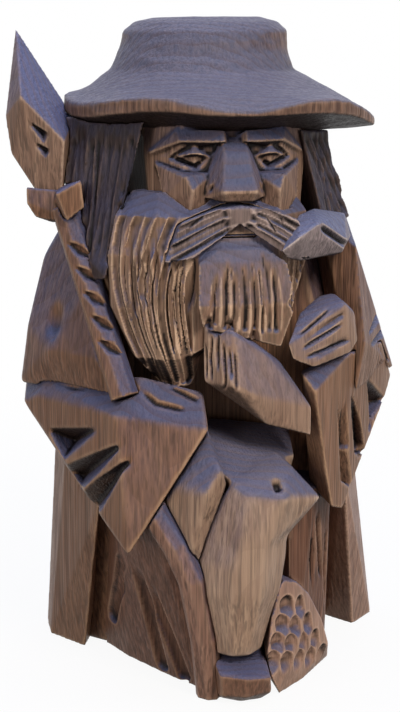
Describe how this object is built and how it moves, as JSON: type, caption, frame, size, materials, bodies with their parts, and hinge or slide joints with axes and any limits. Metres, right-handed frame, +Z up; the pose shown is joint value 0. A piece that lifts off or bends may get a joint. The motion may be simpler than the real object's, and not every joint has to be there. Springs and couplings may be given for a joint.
{
  "type": "viking warrior statue",
  "caption": "Carved dark-stained wooden figure of a seated wanderer with broad hat, long beard and spear, glued up from faceted pieces, standing on its flat base.",
  "frame": {"origin": "on the table under the middle of the figure's own box", "axes": "+Z up; the figure looks along -Y; its right hand and the spear are on -X"},
  "size_m": [0.155, 0.1244, 0.25],
  "materials": {
    "stained_wood": "dark stain under a thin satin oil",
    "dark_stained_wood": "darker stain under a thin satin oil",
    "pale_stained_wood": "stain rubbed back on the high facets",
    "dowel_wood": "bare dowel"
  },
  "bodies": {
    "root": {"neck_dowel": "dowel_wood", "hat_dowel": "dowel_wood", "trunk": "stained_wood", "head": "pale_stained_wood", "hat": "stained_wood", "moustache": "stained_wood", "beard": "stained_wood", "spearhead": "pale_stained_wood", "spear_collar": "stained_wood", "spear_shaft": "stained_wood", "right_hair": "dark_stained_wood", "left_hair": "dark_stained_wood", "back_hair": "dark_stained_wood", "raven": "stained_wood", "right_hand": "pale_stained_wood", "left_fist": "pale_stained_wood", "right_sleeve": "stained_wood", "left_sleeve": "stained_wood", "right_shoulder": "stained_wood", "left_shoulder": "stained_wood", "left_knee": "pale_stained_wood", "right_knee": "pale_stained_wood", "spear_butt": "stained_wood", "shoe": "dark_stained_wood", "rock": "stained_wood", "right_skirt": "dark_stained_wood", "left_skirt": "dark_stained_wood", "right_cloak": "stained_wood", "left_cloak": "stained_wood"}
  },
  "joints": []
}
